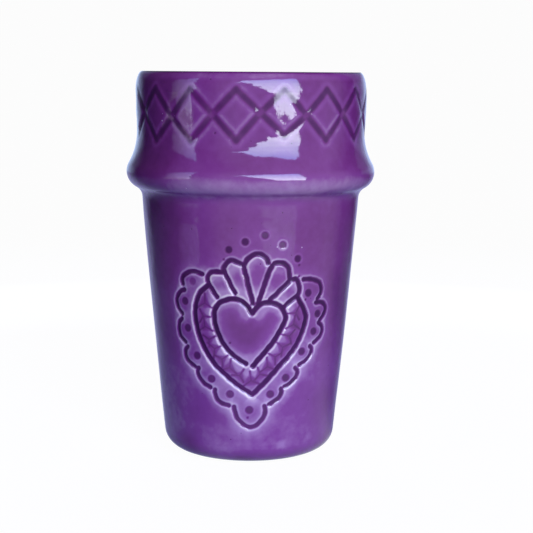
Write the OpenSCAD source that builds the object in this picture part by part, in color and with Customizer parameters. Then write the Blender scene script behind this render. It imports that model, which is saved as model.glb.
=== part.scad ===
// Glazed clay tumbler: a pale clay body with a foot ring, an outer coat of coloured glaze and an inner coat.
// The outside is one chain of tangent arcs and straight runs, and each coat is that chain moved into the wall.
// The carved heart faces -Y, and all heights are measured from the table.

/* [Body] */
// Overall height, from the table to the crest of the lip
height = 122.5; // [115:0.5:140]
// Outer diameter of the collar
collar_d = 73.2; // [68:0.2:80]
// Height of the collar, from the middle of the roll to the crest of the lip
collar_h = 31.5; // [29:0.5:36]
// How far the roll stands out from the collar
roll_proud = 3.3; // [2.4:0.1:4.4]
// Radius of the roll's round section
roll_round = 5.5; // [4.8:0.1:6.6]
// How far the wall, carried up to the middle of the roll, stands in from the collar
waist_inset = 1; // [0.6:0.1:1.8]
// Outer diameter of the wall, carried down to the underside
heel_d = 54.6; // [50:0.2:60]
// Rounding of the heel
heel_round = 6; // [3:0.5:7]
// Rounding of the crease between the wall and the roll
crease_round = 4; // [2:0.2:5]
// Rounding of the shoulder between the roll and the collar
shoulder_round = 12; // [6:0.5:14]
// Thickness of the wall with both of its coats
wall = 4.2; // [3.6:0.1:5]

/* [Inside] */
// Thickness of the floor with both of its coats
floor_t = 5.4; // [4:0.2:7]
// Rounding of the floor's edge
floor_round = 9; // [5:0.5:12]
// Depth of the hollow behind the roll
hollow = 2; // [1:0.2:3]
// Height of the hollow behind the roll
hollow_h = 18; // [12:1:20]

/* [Foot] */
// How far the foot ring stands in from the edge of the outer coat
foot_inset = 2.2; // [1:0.1:3]
// Width of the foot ring
foot_w = 4; // [2.5:0.5:6]
// Height of the underside above the table
foot_h = 0.8; // [0.6:0.1:1.6]
// Rounding of the foot ring's edges
foot_edge = 0.5; // [0.2:0.1:0.7]

/* [Glaze] */
// Thickness of each coat
coat_t = 0.5; // [0.4:0.05:0.7]
// How far the glaze dips in a carved line
line_dip = 0.35; // [0.2:0.05:0.35]

/* [Lozenge band] */
// Number of lozenges round the collar
lozenge_count = 16; // [12:1:20]
// Depth of the band's middle below the lip
band_drop = 12.8; // [11:0.2:14]
// Height of the band, between the middles of its lines
band_h = 15.5; // [10:0.5:17]
// Width of a pressed line
band_line_w = 1.9; // [1.2:0.1:2.4]
// Turn of the band about the axis, in degrees
band_turn = 4.4; // [-11:0.1:11]

/* [Heart ornament] */
// Depth of the inner heart's point below the middle of the roll
heart_drop = 58.2; // [54:0.2:64]
// Width of the inner heart
heart_w = 22.6; // [18:0.2:24]
// Height of the inner heart
heart_h = 21.6; // [17:0.2:23]
// Width of the outer heart
frame_w = 36.4; // [33:0.2:40]
// Height of the outer heart
frame_h = 34; // [31:0.5:36]
// Depth of the outer heart's point below the inner heart's
frame_drop = 8.8; // [7:0.2:11]
// Width of the crown of petals
crown_w = 27; // [24:0.5:30]
// Height of the crown of petals
crown_h = 15.3; // [12:0.3:17]
// Rise of a scallop
scallop_rise = 3.4; // [2.4:0.1:4.2]
// Rise of the scallop under the point
point_rise = 6.8; // [4:0.2:8]
// Width of a carved line
line_w = 1.5; // [1:0.1:1.8]
// Diameter of a dot
dot_d = 2.4; // [1.6:0.1:2.8]
// Number of teeth on each side between the two hearts
tooth_count = 7; // [4:1:9]
// Turn of the ornament about the axis, in degrees
heart_turn = 1.4; // [-10:0.1:10]

/* [Hidden] */
$fn = 96;
arc_steps = 8;
curve_steps = 6;
scallop_steps = 4;
overrun = 2;

collar_r = collar_d / 2;
roll_z = height - collar_h;
roll_c = [collar_r + roll_proud - roll_round, roll_z];
lip_round = wall / 2;
lip_c = [collar_r - lip_round, height - lip_round];
under_z = foot_h + coat_t;
floor_z = foot_h + floor_t;
band_z = height - band_drop;
heart_z = roll_z - heart_drop;
frame_z = heart_z - frame_drop;
crown_z = heart_z + heart_h - line_w;

// The wall leans out by this angle, and these are its directions along and out of the slope.
waist_r = collar_r - waist_inset;
lean = atan((waist_r - heel_d / 2) / (roll_z - foot_h));
along = [sin(lean), cos(lean)];
out = [cos(lean), -sin(lean)];
function wall_r(z) = heel_d / 2 + (z - foot_h) * tan(lean);

// Centres of the arcs, each tangent to the run or the arc on either side of it.
heel_c = [wall_r(foot_h + heel_round) - heel_round / cos(lean), foot_h + heel_round];
foot_r = heel_c[0] - foot_inset;
roll_in = (roll_c[0] - waist_r) * cos(lean);
crease_up = sqrt(pow(roll_round + crease_round, 2) - pow(crease_round - roll_in, 2));
crease_c = roll_c + out * (crease_round - roll_in) - along * crease_up;
shoulder_in = collar_r + shoulder_round - roll_c[0];
shoulder_c = roll_c + [shoulder_in, sqrt(pow(roll_round + shoulder_round, 2) - pow(shoulder_in, 2))];
function bearing(from, to) = atan2(to[1] - from[1], to[0] - from[0]);
crease_end = bearing(crease_c, roll_c);
shoulder_start = bearing(shoulder_c, roll_c) + 360;

function arc(c, r, a, b) =
    [for (i = [0 : arc_steps]) let (t = a + (b - a) * i / arc_steps) c + r * [cos(t), sin(t)]];
function back(points) = [for (i = [len(points) - 1 : -1 : 0]) points[i]];

// The outside, moved into the wall by the depth: from under the heel to the crest of the lip.
function outer_line(depth) = concat(
    arc(heel_c, heel_round - depth, -90, -lean),
    arc(crease_c, crease_round + depth, 180 - lean, crease_end),
    arc(roll_c, roll_round - depth, crease_end - 180, shoulder_start - 180),
    arc(shoulder_c, shoulder_round + depth, shoulder_start, 180),
    arc(lip_c, lip_round - depth, 0, 90)
);

// The inside, moved into the wall by the depth: from the middle of the floor to the crest of the lip.
function bore_r(z) = min(wall_r(z) - wall / cos(lean), collar_r - wall);
function hollow_r(z) = bore_r(z) + hollow * (1 + cos(360 * (z - roll_z) / hollow_h)) / 2;
floor_c = [bore_r(floor_z + floor_round) - floor_round / cos(lean), floor_z + floor_round];
function inner_line(depth) = concat(
    [[0, floor_z - depth]],
    arc(floor_c, floor_round + depth, -90, -lean),
    [for (i = [0 : 2 * arc_steps])
        let (z = roll_z + hollow_h * (i / (2 * arc_steps) - 1 / 2))
        [hollow_r(z) + depth, z]],
    arc(lip_c, lip_round - depth, 180, 90)
);

// The foot ring and the bare underside, from the axis out to the edge of the coat.
function foot_line() = concat(
    [[0, under_z], [foot_r - foot_w, under_z]],
    arc([foot_r - foot_w + foot_edge, foot_edge], foot_edge, 180, 270),
    arc([foot_r - foot_edge, foot_edge], foot_edge, -90, 0),
    [[foot_r, under_z]]
);

// Rings of the wall and of the collar, from the depth of a carved line out past the glaze.
module wall_ring() {
    low = heel_c[1];
    high = crease_c[1];
    dip = line_dip / cos(lean);
    rotate_extrude()
        polygon([
            [wall_r(low) - dip, low],
            [wall_r(low) + overrun, low],
            [wall_r(high) + overrun, high],
            [wall_r(high) - dip, high]
        ]);
}

module collar_ring() {
    translate([0, 0, shoulder_c[1]])
        rotate_extrude()
            translate([collar_r - line_dip, 0])
                square([line_dip + overrun, lip_c[1] - shoulder_c[1]]);
}

// Two bars that cross at each corner between lozenges, drawn out through the collar.
module band_lines() {
    step = 360 / lozenge_count;
    span = 2 * collar_r * sin(step / 2);
    slope = atan2(band_h, span);
    bar = norm([band_h, span]) + band_line_w;
    for (i = [0 : lozenge_count - 1], side = [-1, 1])
        rotate([0, 0, band_turn + i * step])
            translate([0, 0, band_z])
                rotate([90, 0, 0])
                    translate([0, 0, collar_r * cos(step)])
                        linear_extrude(collar_r * (1 - cos(step)) + overrun)
                            rotate(side * slope)
                                square([bar, band_line_w], center = true);
}

// Curves of the ornament are cubic, drawn flat as distances along the wall and heights, then wrapped on the wall.
function cubic(p, t) =
    pow(1 - t, 3) * p[0] + 3 * t * pow(1 - t, 2) * p[1] + 3 * t * t * (1 - t) * p[2] + pow(t, 3) * p[3];
function curve(p, steps) = [for (i = [0 : steps]) cubic(p, i / steps)];
function wrap(p) = let (r = wall_r(p[1])) [r * sin(p[0] / r * 180 / PI), p[1]];
function sized(shares, w, h, z) = [for (s = shares) [s[0] * w, z + s[1] * h]];
function across(p, q) = let (d = (q - p) / norm(q - p)) [-d[1], d[0]];
function stroke_side(p, reach) =
    [for (i = [0 : len(p) - 1]) p[i] + reach * across(p[max(i - 1, 0)], p[min(i + 1, len(p) - 1)])];
function stroke(p) =
    [for (q = concat(stroke_side(p, line_w / 2), back(stroke_side(p, -line_w / 2)))) wrap(q)];

heart_lobe_shares = [[0, 0.83], [0.2, 1], [0.98, 1.2], [1, 0.72]];
heart_side_shares = [[1, 0.72], [1, 0.5], [0.55, 0.3], [0, -0.02]];
frame_top_shares = [[0.76, 0.97], [0.93, 0.89], [1, 0.8], [1, 0.69]];
frame_side_shares = [[1, 0.69], [1, 0.45], [0.55, 0.25], [0, 0]];
petal_mid_shares = [[0.06, 0], [0.18, 0.41], [0.43, 1.02], [-0.02, 1]];
petal_next_shares = [[0.33, 0.16], [0.73, 0.62], [0.55, 0.98], [0.16, 0.78]];
petal_far_shares = [[0.76, 0.08], [1.15, 0.4], [0.97, 0.78], [0.6, 0.6]];
scallop_joint_shares = [[0.87, 1.08], [1.22, 0.9], [1.26, 0.67], [1.15, 0.43], [0.9, 0.235], [0.6, 0.04], [0.3, -0.1]];
crown_dot_shares = [[-0.53, 1.1], [-0.17, 1.26], [0.24, 1.4], [0.68, 1.2], [1.06, 0.92]];
tooth_near_share = 0.3;
tooth_far_share = 0.72;
tooth_w_share = 0.7;

heart_side = sized(heart_side_shares, heart_w / 2, heart_h, heart_z);
frame_side = sized(frame_side_shares, frame_w / 2, frame_h, frame_z);
joints = sized(scallop_joint_shares, frame_w / 2, frame_h, frame_z);
last_joint = joints[len(joints) - 1];

module line(points, steps) {
    polygon(stroke(curve(points, steps)));
}

module scallop(p, q, rise) {
    swell = across(q, p) * rise * 4 / 3;
    line([p, p + swell, q + swell, q], scallop_steps);
}

module dot(p) {
    translate(wrap(p))
        circle(d = dot_d);
}

module tooth(i) {
    t = (i + 1 / 2) / tooth_count;
    half = tooth_w_share / tooth_count / 2;
    base_a = cubic(frame_side, t - half);
    base_b = cubic(frame_side, t + half);
    tip = cubic(heart_side, t);
    polygon([for (p = [base_a + (cubic(heart_side, t - half) - base_a) * tooth_near_share,
                       base_b + (cubic(heart_side, t + half) - base_b) * tooth_near_share,
                       cubic(frame_side, t) + (tip - cubic(frame_side, t)) * tooth_far_share]) wrap(p)]);
}

module heart_half() {
    line(sized(heart_lobe_shares, heart_w / 2, heart_h, heart_z), curve_steps);
    line(heart_side, curve_steps);
    line(sized(frame_top_shares, frame_w / 2, frame_h, frame_z), curve_steps);
    line(frame_side, curve_steps);
    line(sized(petal_mid_shares, crown_w / 2, crown_h, crown_z), curve_steps);
    line(sized(petal_next_shares, crown_w / 2, crown_h, crown_z), curve_steps);
    line(sized(petal_far_shares, crown_w / 2, crown_h, crown_z), curve_steps);
    for (i = [0 : len(joints) - 2]) {
        scallop(joints[i], joints[i + 1], scallop_rise);
        dot((joints[i] + joints[i + 1]) / 2);
    }
    for (i = [0 : tooth_count - 1])
        tooth(i);
}

module heart_lines() {
    rotate([0, 0, heart_turn])
        rotate([90, 0, 0])
            linear_extrude(collar_r) {
                heart_half();
                mirror([1, 0])
                    heart_half();
                scallop(last_joint, [-last_joint[0], last_joint[1]], point_rise);
                dot([0, last_joint[1] - dot_d / 2]);
                for (p = sized(crown_dot_shares, crown_w / 2, crown_h, crown_z))
                    dot(p);
            }
}

module clay_body() {
    color("antiquewhite")
        rotate_extrude()
            polygon(concat(foot_line(), outer_line(coat_t), back(inner_line(coat_t))));
}

module outer_glaze() {
    color("mediumorchid")
        difference() {
            rotate_extrude()
                polygon(concat(outer_line(0), back(outer_line(coat_t))));
            intersection() {
                heart_lines();
                wall_ring();
            }
            intersection() {
                band_lines();
                collar_ring();
            }
        }
}

module inner_glaze() {
    color("rebeccapurple")
        rotate_extrude()
            polygon(concat(inner_line(0), back(inner_line(coat_t))));
}

clay_body();
outer_glaze();
inner_glaze();
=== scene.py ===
# %% [markdown]
# # A purple glazed clay tumbler, piece by piece
# The cup is one fired clay shell with a coat of coloured glass on each face. So three pieces make
# it: the outer coat with its carving, the inner coat, and the clay between them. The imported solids
# load first as a fixed frame. Every piece takes its main sizes from that frame, and none may grow
# past its box.

# %% Load the frame
import math

import bmesh
import bpy
import numpy as np
from mathutils import Matrix, Vector


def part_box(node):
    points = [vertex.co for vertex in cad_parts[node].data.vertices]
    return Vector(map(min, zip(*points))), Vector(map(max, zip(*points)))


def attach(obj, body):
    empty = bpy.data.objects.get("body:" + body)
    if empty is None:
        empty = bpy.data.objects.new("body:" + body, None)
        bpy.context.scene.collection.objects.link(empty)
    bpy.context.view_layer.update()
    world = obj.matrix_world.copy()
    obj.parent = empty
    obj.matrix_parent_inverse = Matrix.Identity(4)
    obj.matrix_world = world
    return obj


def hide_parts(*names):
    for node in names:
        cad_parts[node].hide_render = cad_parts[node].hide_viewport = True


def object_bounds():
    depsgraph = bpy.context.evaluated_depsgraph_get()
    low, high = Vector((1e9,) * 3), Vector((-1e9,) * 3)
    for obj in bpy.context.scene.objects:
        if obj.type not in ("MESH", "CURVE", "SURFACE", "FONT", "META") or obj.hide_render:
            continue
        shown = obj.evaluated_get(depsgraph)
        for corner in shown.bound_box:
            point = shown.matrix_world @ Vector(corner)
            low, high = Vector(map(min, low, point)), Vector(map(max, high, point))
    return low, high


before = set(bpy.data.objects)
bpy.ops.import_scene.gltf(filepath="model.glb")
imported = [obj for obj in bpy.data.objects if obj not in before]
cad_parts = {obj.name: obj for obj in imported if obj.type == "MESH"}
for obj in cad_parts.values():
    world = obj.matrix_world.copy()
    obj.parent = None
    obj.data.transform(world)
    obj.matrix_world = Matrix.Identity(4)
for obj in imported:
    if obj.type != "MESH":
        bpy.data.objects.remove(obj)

cad_box = [list(corner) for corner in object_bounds()]
print("CAD box in metres", cad_box)

# %% [markdown]
# ## Sizes
# A potter notes a cup as a few sizes in millimetres. The height, the widest radius, the edge of the
# coat under the heel and the level of the floor come from the frame. The rest follow the outline in
# the photograph. In the names, r is a radius, z a height over the table, and round the radius of a
# bend.

# %% Sizes in millimetres
MM = 0.001
box_room = 0.05
coat_edge = 0.5
height = cad_box[1][2] / MM
roll_r = cad_box[1][0] / MM - box_room
heel_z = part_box("outer_glaze")[0].z / MM
floor_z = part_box("inner_glaze")[0].z / MM + coat_edge

roll_below_rim = 31.6
roll_z = height - roll_below_rim
roll_round = 5.5
collar_r = 36.45
collar_flare = 0.35
shoulder_round = 20.0
waist_r = 35.6
crease_round = 4.0
heel_r = 27.3
heel_round = 6.0
lip_across = 2.1
lip_up = 6.0
wall_swell = 0.3
wall = 4.2
print("height", round(height, 2), "widest radius", round(roll_r, 2), "floor at", round(floor_z, 2))

# %% [markdown]
# ## The outline
# Half of the cup's outline is a chain of arcs and straight runs: heel, leaning wall, crease, roll,
# shoulder, collar and lip. Each arc is tangent to the next, as a finger leaves it on the wheel. The
# wall swells a little between its ends and the collar is slightly hollow, because a thrown wall is
# never quite straight.


# %% Arcs and runs
def arc(centre, radius, start, end, count):
    """Points from one bearing to another in degrees; radius is one number or (across, up)."""
    across, up = radius if isinstance(radius, tuple) else (radius, radius)
    turns = np.radians(np.linspace(start, end, count + 1))
    return np.column_stack([centre[0] + across * np.cos(turns), centre[1] + up * np.sin(turns)])


def bearing(start, end):
    """The way from one point to another, in degrees."""
    return math.degrees(math.atan2(end[1] - start[1], end[0] - start[0]))


def run(start, end, count):
    """Points strictly between two points on a straight line."""
    shares = np.linspace(0, 1, count + 1)[1:-1, None]
    return start + (end - start) * shares


lean = math.atan2(waist_r - heel_r, roll_z - heel_z)
lean_deg = math.degrees(lean)
up_wall = np.array([math.sin(lean), math.cos(lean)])
off_wall = np.array([math.cos(lean), -math.sin(lean)])


def wall_r(z):
    """Radius of the straight wall at a height."""
    return heel_r + (z - heel_z) * math.tan(lean)


print("the wall leans out by", round(lean_deg, 2), "degrees")

# %% Centres of the arcs
heel_mid_z = heel_z + heel_round
heel_c = np.array([wall_r(heel_mid_z) - heel_round / math.cos(lean), heel_mid_z])
roll_c = np.array([roll_r - roll_round, roll_z])
crease_off = crease_round - (roll_c[0] - waist_r) * math.cos(lean)
crease_drop = math.sqrt((roll_round + crease_round) ** 2 - crease_off ** 2)
crease_c = roll_c + off_wall * crease_off - up_wall * crease_drop
shoulder_off = collar_r + shoulder_round - roll_c[0]
shoulder_rise = math.sqrt((roll_round + shoulder_round) ** 2 - shoulder_off ** 2)
shoulder_c = roll_c + np.array([shoulder_off, shoulder_rise])
lip_c = np.array([collar_r + collar_flare - lip_across, height - lip_up])
print("crease centred at", crease_c.round(2), "and shoulder at", shoulder_c.round(2))

# %% Join the outline
crease_end = bearing(crease_c, roll_c)
shoulder_start = bearing(shoulder_c, roll_c) + 360
heel_arc = arc(heel_c, heel_round, -90, -lean_deg, count=9)
crease_arc = arc(crease_c, crease_round, 180 - lean_deg, crease_end, count=6)
roll_arc = arc(roll_c, roll_round, crease_end - 180, shoulder_start - 180, count=16)[1:]
shoulder_arc = arc(shoulder_c, shoulder_round, shoulder_start, 180, count=7)[1:]
lip_arc = arc(lip_c, (lip_across, lip_up), 0, 90, count=10)

wall_run = run(heel_arc[-1], crease_arc[0], count=54)
up_the_wall = np.linspace(0, 1, len(wall_run) + 2)[1:-1]
wall_run[:, 0] += wall_swell * np.sin(np.pi * up_the_wall)
collar_run = run(shoulder_arc[-1], lip_arc[0], count=11)
up_the_collar = np.linspace(0, 1, len(collar_run) + 2)[1:-1]
collar_run[:, 0] = collar_r + collar_flare * up_the_collar ** 2
skin = np.vstack([heel_arc, wall_run, crease_arc, roll_arc, shoulder_arc, collar_run, lip_arc])


def skin_r(z):
    """Radius of the smooth outside; the outline climbs all the way, so each height has one."""
    return np.interp(z, skin[:, 1], skin[:, 0])


print("outline of", len(skin), "points")

# %% [markdown]
# ## Turning a line into a piece
# A wheel-thrown form is a line turned about an axis, so Blender's spin is the natural tool. The line
# is closed before it is turned, which gives each coat a real thickness. A second line, set inwards
# from the first along its own normals, is the hidden face of the coat.

# %% Spin and offset
merge_gap = MM / 1000
sharp_angle = math.radians(75)


def inward(line, depth):
    """The line moved by a depth towards the clay, which lies to the left of an upward line."""
    slope = np.gradient(line, axis=0)
    slope /= np.linalg.norm(slope, axis=1)[:, None]
    outward = np.column_stack([slope[:, 1], -slope[:, 0]])
    return line - outward * np.reshape(depth, (-1, 1))


def smooth(value, low, high):
    """0 below low, 1 above high, and an easy curve between."""
    share = np.clip((value - low) / (high - low), 0, 1)
    return share * share * (3 - 2 * share)


def spun(line, steps, closed=True):
    """A bmesh turned once about the cup's axis from (radius, height) points in millimetres."""
    bm = bmesh.new()
    verts = [bm.verts.new((r * MM, 0, z * MM)) for r, z in line]
    pairs = list(zip(verts, verts[1:]))
    if closed:
        pairs.append((verts[-1], verts[0]))
    edges = [bm.edges.new(pair) for pair in pairs]
    bmesh.ops.spin(bm, geom=verts + edges, cent=(0, 0, 0), axis=(0, 0, 1), angle=2 * math.pi,
                   steps=steps, use_merge=True)
    bmesh.ops.remove_doubles(bm, verts=bm.verts, dist=merge_gap)
    bmesh.ops.recalc_face_normals(bm, faces=bm.faces)
    return bm


def finished(name, bm):
    """The bmesh as an object, smooth apart from the cut ends of a coat."""
    mesh = bpy.data.meshes.new(name)
    bm.to_mesh(mesh)
    bm.free()
    mesh.shade_smooth()
    mesh.set_sharp_from_angle(angle=sharp_angle)
    piece = bpy.data.objects.new(name, mesh)
    bpy.context.scene.collection.objects.link(piece)
    print(name, "has", len(mesh.vertices), "points and", len(mesh.polygons), "faces")
    return piece


# %% Turn the plain outer coat
coat_deep = 1.3
thin_to, deep_from = 0.03, 0.12
turn_steps = 128
back_step = 4
along = np.linspace(0, 1, len(skin))
from_end = np.minimum(along, 1 - along)
coat_depth = coat_edge + (coat_deep - coat_edge) * smooth(from_end, thin_to, deep_from)
coat_back = inward(skin, coat_depth)
back_rows = np.unique(np.append(np.arange(0, len(skin), back_step), len(skin) - 1))
coat_bm = spun(np.vstack([skin, coat_back[back_rows][::-1]]), turn_steps)
print("plain coat has", len(coat_bm.faces), "faces")

# %% [markdown]
# ## A finer grid where the coat is carved
# The carved lines are only about two millimetres wide, so the faces under them have to be much
# smaller than that. Cutting the whole cup so fine would waste faces. Subdividing just the two carved
# zones keeps the rest light: the front panel with the heart, and the collar with its lozenges.

# %% Refine the two carved zones
panel_left, panel_right = -50.0, 55.0
heart_z = height - 78.0
panel_low, panel_high = heart_z - 35, heart_z + 33
band_low, band_high = height - 23.5, height - 2
panel_cuts, band_cuts = 4, 3


def polar(co):
    """Azimuth in degrees from the front, towards the right, then radius and height in mm."""
    return math.degrees(math.atan2(co.x, -co.y)), math.hypot(co.x, co.y) / MM, co.z / MM


def on_panel(co):
    azimuth, r, z = polar(co)
    in_panel = panel_left < azimuth < panel_right and panel_low < z < panel_high
    return in_panel and r > skin_r(z) - coat_edge


def on_band(co):
    r, z = polar(co)[1:]
    return band_low < z < band_high and r > skin_r(z) - coat_edge


def refine(bm, inside, cuts):
    """Cut every face whose corners all pass the test into a finer grid."""
    faces = [face for face in bm.faces if all(inside(vert.co) for vert in face.verts)]
    edges = list({edge for face in faces for edge in face.edges})
    bmesh.ops.subdivide_edges(bm, edges=edges, cuts=cuts, use_grid_fill=True)


refine(coat_bm, on_panel, panel_cuts)
refine(coat_bm, on_band, band_cuts)
outer_coat = finished("outer_coat", coat_bm)

# %% [markdown]
# ## Lines on the wall
# The ornament is drawn on the unrolled wall: u is the way round the cup in millimetres from the
# front, to the right, and v is the height. A stroke is a smooth line through a few given points.
# Each point of the mesh then asks how far it lies from the stroke and on which side, and that
# gap shapes the groove.


# %% Strokes and gaps
def stroke(points, steps=8):
    """A smooth line (Catmull-Rom) through given points."""
    knots = np.array(points, float)
    knots = np.vstack([2 * knots[0] - knots[1], knots, 2 * knots[-1] - knots[-2]])
    t = np.linspace(0, 1, steps, endpoint=False)[:, None]
    spans = []
    for a, b, c, d in zip(knots, knots[1:], knots[2:], knots[3:]):
        bend = 2 * a - 5 * b + 4 * c - d + t * (3 * b - 3 * c + d - a)
        spans.append(b + 0.5 * t * (c - a + t * bend))
    return np.vstack(spans + [knots[-2:-1]])


def gap_to(line, u, v):
    """Distance of each point from a line, and the side: above 0 is left of the way it was drawn."""
    nearest = np.full(u.shape, np.inf)
    side = np.zeros(u.shape)
    for (au, av), (bu, bv) in zip(line, line[1:]):
        du, dv = bu - au, bv - av
        along = np.clip(((u - au) * du + (v - av) * dv) / (du * du + dv * dv), 0, 1)
        gu, gv = u - au - along * du, v - av - along * dv
        gap = np.hypot(gu, gv)
        side = np.where(gap < nearest, du * gv - dv * gu, side)
        nearest = np.minimum(nearest, gap)
    return nearest, side


print("a stroke through 3 points has", len(stroke([(0, 0), (1, 1), (2, 0)])), "points")

# %% [markdown]
# ## What carving does to a glaze
# A line cut in leather-hard clay has a flat floor and crisp, slightly raised edges. Molten glaze
# drains off the edges and gathers on the floor, so lines fire dark and their edges fire pale. The
# carving therefore keeps four things for each point: how deep it dips, how much glaze pools, how pale
# an edge is, and a wider pale haze.

# %% A record of the carving
pool_edge, edge_spread = 0.4, 1.2
hand_waver = 0.1
nick_face = dict(depth=0.08, pool=0.3, soft=0.7)
nick_crease = dict(half=0.4, depth=0.12, pool=0.55, soft=0.35)


class Carving:
    """What the marks do to each point at u and v on the unrolled wall."""

    def __init__(self, u, v):
        self.u, self.v = u, v
        self.dip = np.zeros(u.shape)
        self.pool = np.zeros(u.shape)
        self.pale = np.zeros(u.shape)
        self.haze = np.zeros(u.shape)

    def press(self, gap, half, depth, pool, pale=0.0, haze=0.0, soft=0.3, reach=2.2):
        """A mark whose floor ends where the gap is half its width, over an edge that is soft."""
        floor = 1 - smooth(gap, half - soft, half + soft)
        filled = 1 - smooth(gap, half - soft, half + pool_edge * soft)
        edge = np.exp(-((gap - half - soft) / (edge_spread * soft)) ** 2)
        around = np.exp(-(np.maximum(gap - half, 0) / reach) ** 2)
        self.dip = np.maximum(self.dip, depth * floor)
        self.pool = np.maximum(self.pool, pool * filled)
        self.pale = np.maximum(self.pale, pale * edge)
        self.haze += haze * around

    def line(self, points, half, depth, pool, left, right, reach=2.2):
        """A cut line; left and right give the pale edge and the haze beside it, as it was drawn."""
        gap, side = gap_to(points, self.u, self.v)
        waver = np.sin(1.7 * self.u + 0.9 * self.v) * np.sin(0.8 * self.u - 1.4 * self.v)
        pale, haze = [np.where(side > 0, a, b) for a, b in zip(left, right)]
        self.press(gap, half * (1 + hand_waver * waver), depth, pool, pale, haze, reach=reach)

    def dot(self, u, v, r, depth, pool, pale=0.0):
        """A round mark."""
        self.press(np.hypot(self.u - u, self.v - v), r, depth, pool, pale, pale)

    def tooth(self, u, v, r, heading):
        """A three-cornered nick, creased towards each corner, one of them along a heading."""
        flats = [heading + math.pi, heading + math.pi / 3, heading - math.pi / 3]
        ways = [(math.cos(flat), math.sin(flat)) for flat in flats]
        gaps = [(self.u - u) * du + (self.v - v) * dv for du, dv in ways]
        self.press(np.max(gaps, axis=0), r, **nick_face)
        for du, dv in ways:
            corner = (u - 2 * r * du, v - 2 * r * dv)
            self.press(gap_to([(u, v), corner], self.u, self.v)[0], **nick_crease)

    def bloom(self, u, v, r, haze):
        """A soft pale cloud where the glaze ran thin, or a dark one below 0."""
        self.haze += haze * np.exp(-(np.hypot(self.u - u, self.v - v) / r) ** 2)


print("a nick is", nick_crease["depth"], "mm deep in its creases")

# %% Where each point lies
skin_depth = 0.9 * coat_edge
points = np.empty(len(outer_coat.data.vertices) * 3)
outer_coat.data.vertices.foreach_get("co", points)
points = points.reshape(-1, 3) / MM
azimuth = np.arctan2(points[:, 0], -points[:, 1])
radius = np.hypot(points[:, 0], points[:, 1])
level = points[:, 2]
outside = radius > skin_r(level) - skin_depth
print("points on the outside", int(outside.sum()), "of", len(outside))

# %% [markdown]
# ## The heart
# The front carries a votive heart of a common folk kind: a small heart inside a large one, with a row
# of nicks between them, five petals as a flame on top, a scalloped border with a dot in each scallop,
# and loose dots over the petals. It was cut freehand, so the two sides differ. A mirrored half would
# lose that, so each line has its own few points, as (u, v) from the middle of the heart.

# %% Lines of the heart
inner_left = [(0.6, 5.4), (-0.8, 7.6), (-3, 9.4), (-5.2, 9.8), (-8, 9.2), (-10.2, 7.6),
              (-11.2, 5.2), (-10.8, 1.6), (-9.2, -2.8), (-6.8, -6.4), (-4, -8.8), (-1.2, -10.6)]
inner_right = [(0.8, 5.4), (2.4, 7.6), (4.4, 8.6), (6.8, 8.6), (9.2, 7.6), (10.8, 5.4),
               (11.2, 3.4), (9.8, 0.2), (7, -4.2), (3.8, -8), (1, -11.4)]
outer_left = [(-13.2, 13.6), (-15.6, 11.6), (-17.2, 8.6), (-17.8, 5), (-17.4, 1.4), (-16.4, -2.2),
              (-14.4, -6.4), (-11.4, -10.8), (-7.6, -14.4), (-3.6, -17.6), (0.8, -20.6)]
outer_right = [(15.4, 9.6), (17.2, 6.6), (18.4, 3.6), (17.6, 0), (15.8, -4), (12.8, -8.2),
               (9, -12), (5, -16.4), (0.8, -20.6)]
petals = [
    [(-1.8, 20.2), (-0.8, 22.2), (0.8, 23.4), (2.8, 23.8), (4.6, 22.8), (5.6, 21)],
    [(1, 8.4), (-0.2, 12.8), (-1.4, 17.6), (-2, 20.2)],
    [(2.4, 8.4), (4.2, 13.6), (5.8, 18.2), (6.8, 20.2)],
    [(-4.6, 11.6), (-6.4, 15), (-7.8, 18), (-8.2, 19.2), (-7.2, 20.8), (-5.8, 21.8),
     (-4.4, 21.4), (-2.4, 20.6)],
    [(6.2, 9.6), (7.6, 10.8), (10, 13), (12.2, 15), (12.4, 16.4), (12, 19), (10.8, 20.6),
     (9, 21), (7.4, 20.8)],
    [(-10.2, 10.2), (-11.4, 11.8), (-12.8, 14), (-13.4, 15.6), (-12.8, 17.2), (-11.2, 18),
     (-8.6, 18)],
    [(10.6, 7), (12.6, 8.8), (14.6, 10), (15.4, 10.8), (15.8, 12.4), (15.4, 14.4),
     (14.6, 15.6), (13.2, 15.6)],
]
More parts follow.
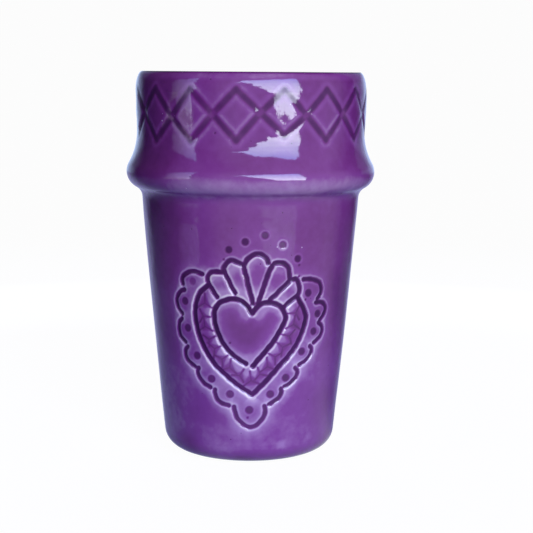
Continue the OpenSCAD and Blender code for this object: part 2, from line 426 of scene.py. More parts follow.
scallops = [
    [(-15, 17), (-17.4, 17.6), (-19.6, 17.4), (-21.6, 16.4), (-22.6, 15), (-22.4, 13.2)],
    [(-21.8, 11.6), (-23.2, 11), (-24.6, 9.6), (-25.2, 7.8), (-24.4, 5.4), (-22.8, 3.8)],
    [(-23, 2.2), (-24.2, 1), (-24.4, -1.2), (-23.6, -3.6), (-21.6, -5.2)],
    [(-20.8, -6.6), (-21.6, -7.6), (-21.6, -9.6), (-20.2, -11.4), (-17.8, -12.8)],
    [(-16.6, -13), (-17, -14), (-16.4, -15.8), (-14.8, -17.6), (-12.4, -18.8)],
    [(-11, -19.4), (-11, -20.6), (-10.2, -22.4), (-8.8, -23.6), (-6.4, -24.2)],
    [(-4.8, -24.6), (-4.6, -26), (-3.4, -28.8), (-1.4, -30.6), (0.6, -31.2), (2.8, -30),
     (4.4, -28), (5, -26), (4.8, -24.4)],
    [(6.2, -23.8), (8, -22.8), (9.6, -21.4), (10.2, -20), (10, -19)],
    [(11.2, -18.4), (13.2, -17.4), (15, -15.6), (15.6, -13.8), (14.8, -12.6)],
    [(16.2, -11.8), (18.4, -10.8), (20.4, -9), (21, -7), (20.2, -6.2)],
    [(21.8, -5.2), (24.2, -3.8), (25.4, -1.8), (25, 0), (23.6, 1)],
    [(24.2, 1.8), (25.6, 3), (26.6, 5), (26, 6.8), (24.2, 7.6), (22.2, 7.6)],
    [(22.8, 8.8), (24, 10), (24.4, 11.8), (23.6, 13.8), (21.6, 14.8), (19.2, 15.4), (17.2, 15.4)],
]
print("the heart has", 4 + len(petals) + len(scallops), "lines")

# %% Cut the lines
on_front = (outside & (azimuth > math.radians(panel_left)) & (azimuth < math.radians(panel_right))
            & (level > panel_low) & (level < panel_high))
heart = Carving(azimuth[on_front] * skin_r(level[on_front]), level[on_front] - heart_z)
heart_cut = dict(half=0.84, depth=0.45, pool=0.95)
petal_cut = dict(half=0.8, depth=0.4, pool=0.9)
scallop_cut = dict(half=0.76, depth=0.28, pool=0.85)
inner_reach = 2.8

heart.line(stroke(inner_left), left=(0.4, 1.3), right=(1.0, 1.8), reach=inner_reach, **heart_cut)
heart.line(stroke(inner_right), left=(1.0, 1.8), right=(0.5, 1.3), reach=inner_reach, **heart_cut)
heart.line(stroke(outer_left), left=(0.3, 0.2), right=(1.0, 1.0), **heart_cut)
heart.line(stroke(outer_right), left=(0.9, 0.8), right=(0.3, 0.2), **heart_cut)
for petal in petals:
    heart.line(stroke(petal), left=(0.5, 0.3), right=(0.8, 0.5), **petal_cut)
for scallop in scallops:
    heart.line(stroke(scallop), left=(0.4, 0.5), right=(0.45, 0.8), **scallop_cut)
print("lines cut to", round(heart.dip.max(), 2), "mm")

# %% Dots, nicks and pale tops
border_dots = [(-21.5, 8), (-20.5, -0.5), (-17, -9), (-12, -16), (-6, -20.5), (0, -25.5),
               (6.5, -20.5), (11.5, -15.5), (17, -7.5), (21.5, -1.5), (23, 4), (19, 11)]
loose_dots = [(-18.5, 14.5, 0.3, 0.1), (-6.5, 25, 0.8, 0.05), (-1.5, 27.5, 0.8, 0.3),
              (4.5, 29.5, 0.6, 0.3), (10, 26.5, 0.5, 0.6), (15, 22, 0.8, 0.3)]
specks = [(-0.5, -28), (18, 9), (15.5, 16.5), (15.5, 20), (-8, 22), (-6, -4)]
petal_tops = [(2, 21.5), (-5.5, 19), (9.5, 18), (-10.5, 16), (14, 13)]
notch = (0.6, 3.4)
nicks = [(-14.2, 8, 1.5), (-14.8, 3.8, 1.2), (-14.2, 0.6, 1.5), (-12.8, -3.4, 1.2),
         (-11, -6.2, 1.5), (-8.6, -9.4, 1.3), (-6.2, -12, 1.5), (-3, -14.4, 1.2), (0.5, -16, 1.5),
         (3.2, -14, 1.2), (5.6, -11.6, 1.5), (8, -8.6, 1.2), (10.4, -5.6, 1.5), (12.6, -2.2, 1.3),
         (14, 1.4, 1.5), (14.6, 5, 1.3)]
nick_aim = (0.5, 0)
nick_twist = 0.35
dot_depth = 0.07

for u, v in border_dots:
    heart.dot(u, v, r=1.3, depth=dot_depth, pool=0.7, pale=0.1)
for u, v, pool, pale in loose_dots:
    heart.dot(u, v, r=1.2, depth=dot_depth, pool=pool, pale=pale)
for u, v in petal_tops:
    heart.bloom(u, v, r=1.8, haze=0.7)
heart.bloom(*notch, r=2.2, haze=-1.4)
for u, v in specks:
    heart.dot(u, v, r=0.4, depth=0.05, pool=0.8)
for order, (u, v, r) in enumerate(nicks):
    inwards = math.atan2(nick_aim[1] - v, nick_aim[0] - u)
    heart.tooth(u, v, r, inwards + nick_twist * math.sin(2.4 * order))

middle_v, middle_reach, middle_pool = -1.0, 5.5, 0.12
in_middle = np.exp(-(np.hypot(heart.u, heart.v - middle_v) / middle_reach) ** 2)
heart.pool += middle_pool * (1 - heart.pool) * in_middle
print("glaze pools at", int((heart.pool > 0.5).sum()), "points of the heart")

# %% [markdown]
# ## The lozenge band
# Sixteen lozenges run round the collar, pressed into the soft clay rather than cut: their lines are
# wider and rounder. The clay in each lozenge stands up as a low mound with two sloping sides and a
# rounded ridge a little above its middle. Where two lines cross, the press lifted and left a little
# of the surface. One slanted line is drawn each way at each crossing, all the way round. The few that
# the photograph shows are uneven, so each crossing and each foot has its own small lift.

# %% Sizes of the band
lozenge_count = 16
band_top, band_foot = height - 5.1, height - 20.2
band_middle = (band_top + band_foot) / 2
band_turn = math.radians(4.4)
collar_mean = collar_r + collar_flare / 2
pitch = 2 * math.pi * collar_mean / lozenge_count
crossing_lifts = [0.7, 0, 0.1, -0.2, 0.3, -0.4, 0.2, 0.5, -0.3, 0.1, 0.4, -0.1, 0.2, 0, -0.9, 0.1]
foot_lifts = [1.6, 0, 0, 0.3, -0.2, 0.5, 0, -0.3, 0.4, 0.2, -0.4, 0.1, 0.3, -0.6, -0.3, 0]

press_line = dict(half=1.1, haze=0.1, soft=0.7, reach=1.2)
press_depth, press_pool = 0.07, 0.6
inner_pale, outer_pale = 0.45, 0.3
lift_start = 0.4
lift_end = {1: 1.8, -1: 1.4}
lift_left = {1: 0.0, -1: 0.3}
crest, ridge_round = band_middle + 1.0, 2.5
crown, side_slope = 0.36, 0.7
mound_out, mound_in = -0.05, 0.25
print("lozenges of", round(pitch, 2), "by", round(band_top - band_foot, 2), "mm")

# %% Press the lozenges
on_collar = outside & (level > band_low) & (level < band_high)
band = Carving(azimuth[on_collar] * collar_mean, level[on_collar])
crowns = np.zeros(band.u.shape)
for step in range(-lozenge_count // 2 - 1, lozenge_count // 2 + 2):
    lift = crossing_lifts[step % lozenge_count]
    middle = (band_turn * collar_mean + step * pitch, band_middle + lift)
    from_crossing = np.hypot(band.u - middle[0], band.v - middle[1])
    for way in (-1, 1):
        foot_lift = foot_lifts[(step - 1 if way > 0 else step) % lozenge_count]
        foot = (middle[0] - way * pitch / 2, band_foot + foot_lift)
        top = (middle[0] + way * pitch / 2, band_top)
        gap, side = gap_to([foot, middle, top], band.u, band.v)
        clear = smooth(from_crossing, lift_start, lift_end[way])
        firm = lift_left[way] + (1 - lift_left[way]) * clear
        inner_edge = (side * way > 0) & (band.v < middle[1]) & (band.v > foot[1])
        pale_edge = np.where(inner_edge, inner_pale, outer_pale)
        band.press(gap, depth=press_depth * firm, pool=press_pool * firm, pale=pale_edge,
                   **press_line)
    across = np.abs(band.u - middle[0] - pitch / 2) / (pitch / 2)
    slant = np.hypot(band.v - crest, ridge_round) - ridge_round
    upright = slant / np.where(band.v > crest, band_top - crest, crest - band_foot)
    mound = crown * (1 - side_slope * across - upright)
    crowns = np.maximum(crowns, mound * smooth(1 - across - upright, mound_out, mound_in))

pinhole = (-10.8, height - 18)
band.dot(*pinhole, r=0.3, depth=0.15, pool=1.0)
band.dip -= crowns
print("lozenges", lozenge_count, "pressed to", round(band.dip.max(), 2), "mm")

# %% [markdown]
# ## Put the carving into the coat
# The glaze thickness goes on the mesh as an attribute for the material: about one half on plain
# ground, more where glaze gathers, as in the lines and at the heel, and less where it ran off, as
# under the lip. The same attribute also carries painted light and shade: painted shade on the left,
# towards the right edge, where the heel turns under and along the crest of the lip, and painted light
# from the pale table under the roll and low on the wall. A few spots add more painted shade, and one
# small painted highlight on the heel. Then each point moves straight out or in to the smooth outline
# plus a slight hand-thrown waver, less the dip. Moving points keeps the fine grid that was made for
# it, and a displacement in the material would be lost outside Blender.

# %% Work out the glaze thickness, with painted light and shade
plain, pool_gain, pale_loss, haze_loss, haze_most = 0.5, 0.42, 0.32, 0.16, 1.5
raised_edge = 0.06
dip = np.zeros(len(points))
glaze = np.full(len(points), plain)
for zone, carving in ((on_front, heart), (on_collar, band)):
    dip[zone] = carving.dip - raised_edge * carving.pale * (1 - carving.pool)
    thin = pale_loss * carving.pale + haze_loss * np.clip(carving.haze, 0, haze_most)
    glaze[zone] += pool_gain * carving.pool - thin * (1 - carving.pool)

# Painted shade: darker towards the right edge and round the right side.
right_painted_shade = smooth(azimuth, 0.7, 1.2) * (1 - smooth(azimuth, 1.9, 2.6))
# Painted shade: darker on the left of the upper wall and collar, the side away from the lamps.
left_painted_shade = smooth(-azimuth, 0.45, 0.8) * (1 - smooth(-azimuth, 1.0, 1.4)) * smooth(level, 50, 80)
# Painted reflection: paler under the roll, standing in for the pale table it mirrors.
under_roll_painted_light = np.exp(-((level - roll_z + 2.6) / 3.8) ** 2)
# Painted light: paler low on the wall, standing in for light bounced up from the table.
low_wall_painted_light = 1 - smooth(level, 12.0, 45.0)
# Darker at the heel: glaze gathers there, and this also paints the shade where the heel turns under.
heel = 1 - smooth(level, 2.0, 8.0)
under_lip = smooth(level, height - 3, height - 1.5)
# Painted shade: a dark line along the crest of the lip.
crest_painted_shade = smooth(level, height - 0.5, height - 0.1)
# Changes to the glaze value: under the lip it is thin glaze, at the heel pooled glaze and painted
# shade, the rest painted light and shade.
runs_and_painted_light = [(0.08, right_painted_shade), (0.14, left_painted_shade), (-0.2, under_roll_painted_light), (-0.15, low_wall_painted_light), (0.12, heel),
        (-0.12, under_lip), (0.35, crest_painted_shade)]
for change, where in runs_and_painted_light:
    glaze += change * where

# Painted shade and one painted highlight: dark spots low on the left and at the heel, two broad dark
# ones towards the right edge, and a small pale one on the heel at 21 degrees for a highlight.
painted_light_spots = [(-44, 7, 0.18, 5), (-5, 2, 0.14, 4), (21, 7, -0.16, 1.8), (-14, 9, 0.08, 3),
          (64, 55, 0.1, 18), (-24, 17, 0.08, 8), (59, 19, 0.1, 10)]
spot_flat = 1.6
for turn, up, change, r in painted_light_spots:
    round_cup = (azimuth - math.radians(turn)) * heel_r
    glaze += change * np.exp(-(np.hypot(round_cup, spot_flat * (level - up)) / r) ** 2)
print("glaze from", round(glaze.min(), 2), "to", round(glaze.max(), 2))

# %% Move the points and store the glaze
settled = smooth(level, 4, 16) * (1 - smooth(level, roll_z - 14, roll_z - 7))
two_sided = 0.06 * np.sin(2 * azimuth + 0.05 * level)
three_sided = 0.05 * np.sin(3 * azimuth - 0.11 * level + 1.0)
thrown_r = skin_r(level) + (two_sided + three_sided) * settled
new_r = np.where(outside, thrown_r - dip, radius)
points[:, :2] *= (new_r / radius)[:, None]
outer_coat.data.vertices.foreach_set("co", (points * MM).ravel())
# The glaze attribute holds the thickness with painted light and shade added.
outer_coat.data.attributes.new("glaze", "FLOAT", "POINT").data.foreach_set("value", glaze)
outer_coat.data.update()
triangles = sum(len(face.vertices) - 2 for face in outer_coat.data.polygons)
print("outer coat has", triangles, "triangles")

# %% [markdown]
# ## The inner coat
# The inside isn't seen in the photograph. It follows the wall with an even thickness, hollows a
# little behind the roll, and rounds into the floor, because a potter's fingers made both faces at
# once. It starts on the crest of the lip, where the outer coat ends. A spin makes it too, and its
# glaze is thicker on the floor, where it ran together.

# %% Draw the bowl
hollow = 2.0
hollow_h = 18.0
floor_round = 9.0
crest_r = skin[-1, 0]


def bore_r(z):
    """Radius of the inside at a height."""
    cone = wall_r(z) - wall / math.cos(lean)
    swell = hollow * (1 + np.cos(np.pi * np.clip((z - roll_z) / (hollow_h / 2), -1, 1))) / 2
    return np.minimum(cone, collar_r - wall) + swell


floor_c = np.array([bore_r(floor_z + floor_round) - floor_round, floor_z + floor_round])
floor_arc = arc(floor_c, floor_round, -90, 0, count=10)
lip_in_c = np.array([crest_r, height - lip_up])
lip_in = arc(lip_in_c, (crest_r - bore_r(lip_in_c[1]), lip_up), 180, 90, count=10)
bore_z = np.linspace(floor_arc[-1, 1], lip_in[0, 1], 62)[1:-1]
bore_run = np.column_stack([bore_r(bore_z), bore_z])
bowl = np.vstack([[0, floor_z], [floor_c[0] / 2, floor_z], floor_arc, bore_run, lip_in])
print("bowl of", len(bowl), "points, floor", round(floor_c[0], 2), "mm out to its bend")

# %% Spin the inner coat
inner_depth = 0.9 * coat_edge
bowl_back = inward(bowl[::-1], inner_depth)
bowl_back[-1] = (0, floor_z - inner_depth)
bowl_bm = spun(np.vstack([bowl, bowl_back]), turn_steps, closed=False)
inner_coat = finished("inner_coat", bowl_bm)

bowl_z = np.array([vert.co.z for vert in inner_coat.data.vertices]) / MM
floor_pool = 0.2 * (1 - smooth(bowl_z, floor_z, floor_z + 12))
lip_loss = 0.12 * smooth(bowl_z, height - 3, height - 0.8)
bowl_glaze = plain + floor_pool - lip_loss
inner_coat.data.attributes.new("glaze", "FLOAT", "POINT").data.foreach_set("value", bowl_glaze)

# %% [markdown]
# ## The clay shell
# The clay is hidden except underneath, where a turned foot ring lifts the glaze off the table. The
# ring's edges are rubbed round so that it doesn't scratch, and the trimming tool leaves shallow rings
# on the base. The shell stays just behind both coats, so that no two faces lie on each other.

# %% Spin the clay shell
foot_inset = 2.2
foot_r = heel_c[0] - foot_inset
foot_w = 4.0
foot_edge = 0.7
foot_slope = 0.6
spare = 0.05
base_z = heel_z + coat_edge
mark_depth, mark_turn, mark_fade = 0.08, 2.2, 3.0
shell_out = inward(skin, coat_depth + spare)[::3]
shell_in = inward(bowl[::-1], inner_depth + spare)[::2]
shell_floor = np.array([[0, floor_z - coat_edge - spare]])
ring_out = arc((foot_r - foot_edge, foot_edge), foot_edge, 0, -90, count=5)
ring_in = arc((foot_r - foot_w + foot_edge, foot_edge), foot_edge, -90, -180, count=5)
base_r = np.linspace(foot_r - foot_w - foot_slope, 0, 60)
base_marks = mark_depth * np.sin(base_r * mark_turn) * smooth(base_r, 0, mark_fade)
base_line = np.column_stack([base_r, base_z + base_marks])
underside = np.vstack([base_line[::-1], ring_in[::-1], ring_out[::-1]])
shell_bm = spun(np.vstack([underside, shell_out, shell_in, shell_floor]), turn_steps, closed=False)
clay_shell = finished("clay_shell", shell_bm)

# %% [markdown]
# ## Shader arithmetic
# Materials here are sums on sockets. A small class lets them be written as plain Python sums, with
# each operator adding one Math node. All other nodes come from one method that sets a node's own
# settings first and then its sockets, and a few short methods on top of it name what is used often.


# %% Sockets that add up
class Amount:
    """What a node gives out: mostly a number that changes over a surface."""

    def __init__(self, nodes, socket):
        self.nodes, self.socket = nodes, socket

    def sum(self, operation, first, second):
        return self.nodes.add("ShaderNodeMath", {"operation": operation}, {0: first, 1: second})

    def __add__(self, other):
        return self.sum("ADD", self, other)

    def __sub__(self, other):
        return self.sum("SUBTRACT", self, other)

    def __rsub__(self, other):
        return self.sum("SUBTRACT", other, self)

    def __mul__(self, other):
        return self.sum("MULTIPLY", self, other)

    def __lt__(self, other):
        return self.sum("LESS_THAN", self, other)

    def __gt__(self, other):
        return self.sum("GREATER_THAN", self, other)

    def __abs__(self):
        return self.sum("ABSOLUTE", self, 0.0)

    def at_least(self, other):
        return self.sum("MAXIMUM", self, other)

    def at_most(self, other):
        return self.sum("MINIMUM", self, other)

    __radd__ = __add__
    __rmul__ = __mul__


print("sums on sockets ready")


# %% Nodes
class Nodes:
    """The nodes of one material, lamp or world."""

    def __init__(self, owner):
        owner.use_nodes = True
        self.tree = owner.node_tree
        self.tree.nodes.clear()

    def add(self, kind, settings, sockets, output=0):
        """A node of a kind: settings first, then socket values or links; gives one output."""
        node = self.tree.nodes.new(kind)
        for key, value in settings.items():
            if key == "stops":
                self.set_stops(node.color_ramp, value)
            else:
                setattr(node, key, value)
        for key, value in sockets.items():
            if isinstance(value, Amount):
                self.tree.links.new(value.socket, node.inputs[key])
            else:
                node.inputs[key].default_value = value
        return Amount(self, node.outputs[output]) if node.outputs else None

    def set_stops(self, ramp, stops):
        while len(ramp.elements) < len(stops):
            ramp.elements.new(1)
        for element, (position, colour) in zip(ramp.elements, stops):
            element.position = position
            element.color = (*colour, 1)

    def axis(self, vector, name):
        """One of the X, Y and Z of a vector."""
        return self.add("ShaderNodeSeparateXYZ", {}, {"Vector": vector}, name)

    def ray(self, kind):
        """1 for one kind of ray, such as Is Camera Ray."""
        return self.add("ShaderNodeLightPath", {}, {}, kind)

    def eased(self, value, start, end, first, last):
        """First while the value is below start, last above end, and an easy curve between."""
        return self.add("ShaderNodeMapRange", {"interpolation_type": "SMOOTHSTEP"}, {
            "Value": value, "From Min": start, "From Max": end, "To Min": first, "To Max": last})

    def blended(self, factor, first, second, way="MIX"):
        """Two colours mixed: a factor of 0 gives the first."""
        sockets = {"Factor": factor}
        for key, colour in ((6, first), (7, second)):
            sockets[key] = colour if isinstance(colour, Amount) else (*colour, 1)
        return self.add("ShaderNodeMix", {"data_type": "RGBA", "blend_type": way}, sockets, 2)

    def cloud(self, place, scale, detail):
        """Soft noise about 0, finer as the scale grows."""
        sockets = {"Vector": place, "Scale": scale, "Detail": detail}
        return self.add("ShaderNodeTexNoise", {}, sockets) - 0.5

    def specks(self, place, scale, size, share):
        """1 in small round specks, in only a share of the cells that hold them."""
        cells = {"Vector": place, "Scale": scale, "Randomness": 1.0}
        distance = self.add("ShaderNodeTexVoronoi", {}, cells, "Distance")
        draw = self.add("ShaderNodeTexVoronoi", {}, cells, "Color")
        luck = self.add("ShaderNodeSeparateColor", {}, {"Color": draw})
        return (distance < size) * (luck < share)


print("nodes ready")


# %% Finishes
class Finish(Nodes):
    """A material, made of nodes on Object coordinates."""

    def __init__(self, name):
        self.material = bpy.data.materials.new(name)
        super().__init__(self.material)
        self.place = self.add("ShaderNodeTexCoord", {}, {}, "Object")

    def show(self, shader):
        self.add("ShaderNodeOutputMaterial", {}, {"Surface": shader})
        return self.material


print("finishes ready")

# %% [markdown]
# ## The purple glaze
# The coat is a clear purple glass over pale clay. Its colour follows its thickness: nearly white
# lilac where it is thinnest, violet on the ground, almost black where it pools. So one ramp takes the
# stored value, which is the thickness with painted light and shade added, adds drifting clouds and
# specks, and gives the colour. Towards the foot it is made a little bluer, a painted bounce of light
# from the table. Low roughness gives the wet gloss. In the lines the pooled glaze looks dull, so a
# second, rough shader takes over there.

# %% Mix the glaze
GLAZE_STOPS = [
    (0.00, (0.70, 0.62, 0.80)),
    (0.20, (0.42, 0.28, 0.58)),
    (0.40, (0.215, 0.052, 0.325)),
    (0.55, (0.158, 0.026, 0.228)),
    (0.75, (0.080, 0.012, 0.122)),
    (1.00, (0.024, 0.002, 0.046)),
]
# Painted bounce light: the colour is made bluer low on the cup, standing in for light from the pale
# table.
PAINTED_BOUNCE_TINT = (0.95, 0.9, 1.1)
bounce_full, bounce_gone = 0.02, 0.075
dull_start, dull_full, dull_most = 0.64, 0.84, 0.85


def purple_glaze(name):
    finish = Finish(name)
    place = finish.place
    # This value is the glaze thickness with painted light and shade added.
    glaze_and_painted_light = finish.add("ShaderNodeAttribute", {"attribute_name": "glaze"}, {}, "Fac")
    drift = finish.cloud(place, scale=45.0, detail=4.0)
    mottle = finish.cloud(place, scale=420.0, detail=3.0)
    pits = finish.specks(place, scale=330.0, size=0.07, share=0.22)
    flecks = finish.specks(place, scale=260.0, size=0.055, share=0.16)
    clouded = glaze_and_painted_light + 0.3 * drift + 0.12 * mottle + 0.3 * pits - 0.3 * flecks
    ramp = finish.add("ShaderNodeValToRGB", {"stops": GLAZE_STOPS}, {"Fac": clouded}, "Color")
    low = finish.eased(finish.axis(place, "Z"), bounce_full, bounce_gone, 1.0, 0.0)
    colour = finish.blended(low, ramp, PAINTED_BOUNCE_TINT, "MULTIPLY")
    ripple = finish.cloud(place, scale=110.0, detail=2.0) + 0.15 * mottle - 0.4 * pits
    relief = finish.add("ShaderNodeBump", {}, {
        "Strength": 0.5, "Distance": 0.0004, "Height": ripple})
    wet = finish.add("ShaderNodeBsdfPrincipled", {}, {
        "Base Color": colour, "Roughness": 0.06 + 0.05 * mottle, "IOR": 1.5,
        "Specular IOR Level": 0.5, "Normal": relief})
    dry = finish.add("ShaderNodeBsdfPrincipled", {}, {
        "Base Color": colour, "Roughness": 0.6, "Specular IOR Level": 0.1, "Normal": relief})
    pooled = finish.eased(glaze_and_painted_light, dull_start, dull_full, 0.0, dull_most)
    return finish.show(finish.add("ShaderNodeMixShader", {}, {0: pooled, 1: wet, 2: dry}))


outer_coat.data.materials.append(purple_glaze("purple_glaze"))
inner_coat.data.materials.append(purple_glaze("purple_glaze_inside"))
print("glaze mixed from", len(GLAZE_STOPS), "stops")

# %% [markdown]
# ## The bare clay
# The foot is left unglazed so that the cup doesn't stick to the kiln shelf. Bare fired clay is matt,
# buff and a little gritty, with darker grains, and the ring takes a faint grey from tables it has
# stood on. Two noises and a field of specks are enough for that, so no picture is needed.

# %% Mix the clay
CLAY_STOPS = [
    (0.0, (0.30, 0.22, 0.16)),
    (0.5, (0.60, 0.50, 0.38)),
    (1.0, (0.75, 0.67, 0.55)),
]
worn_height, worn_shade = 0.0003, 0.25


def bare_clay(name):
    finish = Finish(name)
    place = finish.place
    cloud = finish.cloud(place, scale=160.0, detail=5.0)
    grit = finish.cloud(place, scale=1500.0, detail=2.0)
    grains = finish.specks(place, scale=500.0, size=0.16, share=0.3)
    worn = (finish.axis(place, "Z") < worn_height) * worn_shade
    shade = 0.45 + 0.7 * cloud + 0.35 * grit - 0.3 * grains - worn
    colour = finish.add("ShaderNodeValToRGB", {"stops": CLAY_STOPS}, {"Fac": shade}, "Color")
    relief = finish.add("ShaderNodeBump", {}, {
        "Strength": 0.6, "Distance": 0.0003, "Height": grit - 0.5 * grains})
    shader = finish.add("ShaderNodeBsdfPrincipled", {}, {
        "Base Color": colour, "Roughness": 0.85 + 0.2 * cloud, "Normal": relief})
    return finish.show(shader)


clay_shell.data.materials.append(bare_clay("bare_clay"))
print("clay mixed from", len(CLAY_STOPS), "stops")

# %% [markdown]
# ## Floor and backdrop
# A studio sweep is one sheet that runs along the table and curves up behind. A plane with a bent
# edge could make it, but a line of a few points, extruded sideways, gives its bend at once. Its
# sizes are in metres.

# %% Build the sweep
sweep_half = 1.6
sweep_front, sweep_back, sweep_top, sweep_round = -1.6, 1.1, 1.5, 0.5
bend = arc((sweep_back - sweep_round, sweep_round), sweep_round, -90, 0, count=12)
sweep_line = np.vstack([[sweep_front, 0], bend, [sweep_back, sweep_top]])
sweep_bm = bmesh.new()
sweep_verts = [sweep_bm.verts.new((-sweep_half, y, z)) for y, z in sweep_line]
sweep_edges = [sweep_bm.edges.new(pair) for pair in zip(sweep_verts, sweep_verts[1:])]
grown = bmesh.ops.extrude_edge_only(sweep_bm, edges=sweep_edges)["geom"]
moved = [part for part in grown if isinstance(part, bmesh.types.BMVert)]
bmesh.ops.translate(sweep_bm, verts=moved, vec=(2 * sweep_half, 0, 0))
bmesh.ops.recalc_face_normals(sweep_bm, faces=sweep_bm.faces)
sweep = finished("sweep", sweep_bm)

# %% [markdown]
# ## What the sheet shows
# The camera sees the sheet white, apart from the cup's faint shadow. A glossy cup mirrors much more
# of a room than the camera sees, so the sheet shows its reflections something else: white on the side
# of the big window, a pale patch far to the left, a bluish haze behind, and a table coloured with a
# painted pool of bluish light near the cup that goes dark further off, with a satin ring on the
# table.
# White paper alone would veil the purple all round.

# %% Rays and bearings
window_way, window_cosines = (0.54, -0.84, 0.0), (0.13, 0.64)


def in_mirrors(nodes):
    """1 for what the glaze reflects and what glass would let through."""
    return nodes.ray("Is Glossy Ray") + nodes.ray("Is Transmission Ray")


def facing(nodes, way, towards, start, full):
    """1 for ways out from the cup close to a bearing; start and full are cosines of the turn."""
    unit = nodes.add("ShaderNodeVectorMath", {"operation": "NORMALIZE"}, {0: way}, "Vector")
    cosine = nodes.add("ShaderNodeVectorMath", {"operation": "DOT_PRODUCT"},
                       {0: unit, 1: towards}, "Value")
    return nodes.eased(cosine, start, full, 0.0, 1.0)


def window_side(nodes, way):
    """The bright side of the room."""
    return facing(nodes, way, window_way, *window_cosines)


paper = Finish("white_paper")
place = paper.place
mirror = in_mirrors(paper)
side, depth, rise = [paper.axis(place, name) for name in "XYZ"]
reach = paper.add("ShaderNodeVectorMath", {"operation": "LENGTH"}, {0: place}, "Value")
print("white paper has", len(paper.tree.nodes), "nodes so far")

# %% Table with a painted pool of light, and white sides
NEAR_TONE, FAR_TONE = (0.28, 0.3, 0.55), (0.05, 0.055, 0.07)
near_to, far_from = 0.25, 0.6
satin_inner, satin_outer, satin_gloss = (0.2, 0.26), (0.34, 0.36), 0.75
# Painted light: the table's own colour is bluish near the cup and dark further off, a painted pool of
# light.
pool_of_painted_light = paper.blended(paper.eased(reach, near_to, far_from, 1.0, 0.0), FAR_TONE, NEAR_TONE)
within_ring = paper.eased(reach, *satin_inner, satin_gloss, 0.0)
satin = paper.eased(reach, *satin_outer, satin_gloss, 0.0) - within_ring
table = paper.add("ShaderNodeBsdfPrincipled", {}, {
    "Base Color": pool_of_painted_light, "Roughness": 0.9, "Specular IOR Level": 0.1, "Coat Weight": satin,
    "Coat Roughness": 0.1})

view_white, window_white, white_strength = 0.9, 0.65, 1.08
left_way, left_cosines, left_from = (-0.932, -0.362, 0.0), (0.955, 0.985), (0.4, 0.6)
in_view = view_white * paper.ray("Is Camera Ray")
in_front = window_white * window_side(paper, place) * mirror
far_off = 1 - paper.eased(reach, *left_from, 1.0, 0.0)
by_left = facing(paper, place, left_way, *left_cosines) * far_off * mirror
white = paper.add("ShaderNodeEmission", {}, {"Color": (1, 1, 1, 1), "Strength": white_strength})
sheet = paper.add("ShaderNodeMixShader", {}, {0: in_view + in_front + by_left, 1: table, 2: white})
print("table and white sides take it to", len(paper.tree.nodes), "nodes")

# %% Haze behind the cup
BACKDROP_HAZE, TABLE_HAZE = (0.52, 0.66, 1.0), (0.31, 0.32, 0.57)
haze_strength = 1.4
table_to, backdrop_from = 0.01, 0.06
full_to, dim_from, dim = 0.15, 0.4, 0.35
widens_from, widening = 0.3, 0.2
side_share, right_share, depth_share = 0.69, 0.19, 0.45
wider = (reach - widens_from).at_least(0.0)
outwards = (side_share - widening * wider) * abs(side) + (right_share - widening * wider) * side
turned = outwards - depth_share * depth
wedge = paper.eased(turned, -0.02 - 0.25 * wider, 0.06 + 0.12 * wider, 1.0, 0.0)
by_height = dim + paper.eased(rise, full_to, dim_from, 1 - dim, 0.0)
behind = wedge * by_height * mirror
on_table = paper.eased(rise, table_to, backdrop_from, 1.0, 0.0)
haze = paper.blended(on_table, BACKDROP_HAZE, TABLE_HAZE)
bluish = paper.add("ShaderNodeEmission", {}, {"Color": haze, "Strength": haze_strength})
shown = paper.add("ShaderNodeMixShader", {}, {0: behind, 1: sheet, 2: bluish})
sweep.data.materials.append(paper.show(shown))
print("white paper made of", len(paper.tree.nodes), "nodes")

# %% [markdown]
# ## Light
# The photograph was lit by a broad window to the right of the camera and a weaker, bluer one far to
# the left. A pale sheet of light gives each its even glow on the cup, and a third behind lights the
# back. What the glaze mirrors is another matter: on the collar each window shows as a wedge with a
# sharp right edge that narrows to the left, ragged along its foot where trees stand in it. So a
# second lamp stands nearer, is seen only by reflections and has that shape. The right one ends in a
# thin sliver, and the left one fades towards its left.


# %% Sheets of light
def pane(name, azimuth_deg, reach, foot, width, tall, glow, colour):
    """An upright sheet of light, in metres from the cup; glow is how bright a mirror shows it."""
    data = bpy.data.lights.new(name, "AREA")
    data.shape = "RECTANGLE"
    data.size, data.size_y = width, tall
    data.energy = glow * math.pi * width * tall
    data.color = colour
    turn = math.radians(azimuth_deg)
    away = Vector((math.sin(turn), -math.cos(turn), 0))
    lamp = bpy.data.objects.new(name, data)
    aim = (-away).to_track_quat("-Z", "Y").to_matrix().to_4x4()
    lamp.matrix_world = Matrix.Translation(away * reach + Vector((0, 0, foot + tall / 2))) @ aim
    lamp.visible_camera = False
    bpy.context.scene.collection.objects.link(lamp)
    return lamp


DAYLIGHT, BLUE_SKY = (1.0, 0.98, 0.99), (0.4, 0.55, 1.0)
glows = [
    pane("right_glow", 20, reach=2.0, foot=0.35, width=1.3, tall=1.1, glow=11.0, colour=DAYLIGHT),
    pane("left_glow", -70, reach=2.0, foot=0.2, width=1.0, tall=1.2, glow=0.3, colour=BLUE_SKY),
    pane("back_glow", 180, reach=0.9, foot=0.35, width=1.0, tall=0.8, glow=2.5, colour=DAYLIGHT),
]
for lamp in glows:
    lamp.visible_glossy = False
print(len(glows), "sheets of light")

# %% Windows that only reflections see
sliver_tall, lowest_tree = 0.03, 0.005
colour_climb = 1.4


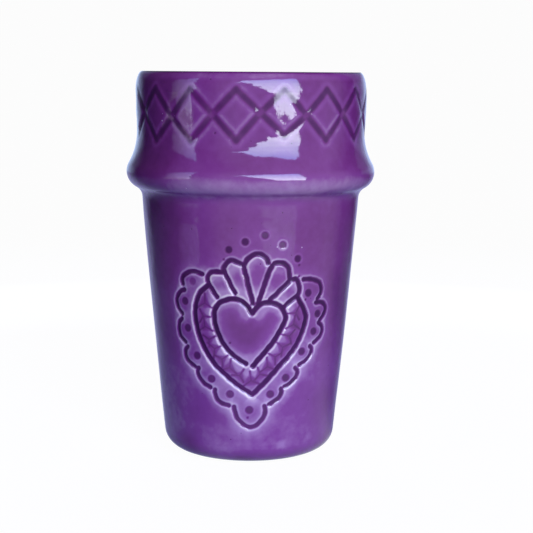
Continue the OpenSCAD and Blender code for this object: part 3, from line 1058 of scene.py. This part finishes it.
def as_mirror_image(lamp, top, low, ragged, fade, foot_colour, head_colour):
    """Shape a lamp that only reflections see; top and low run from its left to its right edge."""
    lamp.visible_diffuse = False
    nodes = Nodes(lamp.data)
    sheet = nodes.add("ShaderNodeNewGeometry", {}, {}, "Parametric")
    across = nodes.axis(sheet, "X")
    up = nodes.axis(sheet, "Y")
    head = top[0] + (top[1] - top[0]) * across
    slope = low[0] + (low[1] - low[0]) * across
    trees = slope.at_most(head - sliver_tall).at_least(lowest_tree)
    leaves = ragged * nodes.cloud(sheet, scale=12.0, detail=6.0)
    inside = (up < head) * (up > trees + leaves) * (1 - fade + fade * across)
    colour = nodes.blended(colour_climb * up, foot_colour, head_colour)
    sky = nodes.add("ShaderNodeEmission", {}, {"Color": colour, "Strength": inside})
    nodes.add("ShaderNodeOutputLight", {}, {"Surface": sky})


WHITE = (1.0, 1.0, 1.0)
right_sky = pane("right_sky", 16, reach=1.0, foot=0.0, width=1.274, tall=1.0, glow=14.5, colour=WHITE)
left_sky = pane("left_sky", -68.75, reach=1.0, foot=0.0, width=0.47, tall=0.9, glow=4.2, colour=WHITE)
as_mirror_image(right_sky, top=(0.55, 0.8), low=(0.7, -0.45), ragged=0.13, fade=0.0,
                foot_colour=(0.82, 0.92, 1.0), head_colour=(0.2, 0.32, 0.65))
as_mirror_image(left_sky, top=(0.45, 0.85), low=(0.06, 0.0), ragged=0.14, fade=0.9,
                foot_colour=(0.75, 0.8, 1.0), head_colour=(0.3, 0.45, 0.8))
print("mirror images of two windows")

# %% The room
room_dim, room_window, room_in_view = 0.03, 0.7, 0.97
world = bpy.data.worlds.new("room")
room = Nodes(world)
way = room.add("ShaderNodeTexCoord", {}, {}, "Generated")
by_window = room_window * window_side(room, way) * in_mirrors(room)
bright = room_dim + by_window + room_in_view * room.ray("Is Camera Ray")
air = room.add("ShaderNodeBackground", {}, {"Color": (0.95, 0.97, 1.0, 1), "Strength": bright})
room.add("ShaderNodeOutputWorld", {}, {"Surface": air})
bpy.context.scene.world = world
bpy.context.scene.view_settings.view_transform = "Standard"
print("a dim room, white to the camera and bright on the window's side")

# %% [markdown]
# ## Camera
# The camera stands at the height of the rim, so the mouth is seen edge on, and tilts down towards the
# foot. Its distance, tilt and lens come from the perspective of the outline: a 533 pixel frame and a
# focal length in the same pixels. The cup stands a little left of the middle, so the camera turns a
# little to the right.

# %% Set the camera
frame_px = 533
focal_px = 1315.5
camera_away = 0.425
tilt_down, turn_right, roll_left = math.radians(8.42), math.radians(0.725), math.radians(0.44)
camera_data = bpy.data.cameras.new("camera")
camera_data.sensor_width = 36.0
camera_data.lens = camera_data.sensor_width * focal_px / frame_px
camera = bpy.data.objects.new("camera", camera_data)
camera.matrix_world = (Matrix.Translation((0, -camera_away, height * MM))
                       @ Matrix.Rotation(-turn_right, 4, "Z")
                       @ Matrix.Rotation(math.pi / 2 - tilt_down, 4, "X")
                       @ Matrix.Rotation(roll_left, 4, "Z"))
bpy.context.scene.collection.objects.link(camera)
bpy.context.scene.camera = camera
print("lens", round(camera_data.lens, 2), "mm")

# %% [markdown]
# ## The pieces and the CAD solids
# Each piece stands for one CAD solid, which is hidden, and rides on the one body.

# %% Ride and hide the solids
hand_over = [
    (outer_coat, "outer_glaze", "outer_glaze"),
    (inner_coat, "inner_glaze", "inner_glaze"),
    (clay_shell, "clay_body", "clay"),
]
for piece, node, slot in hand_over:
    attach(piece, "root")
    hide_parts(node)
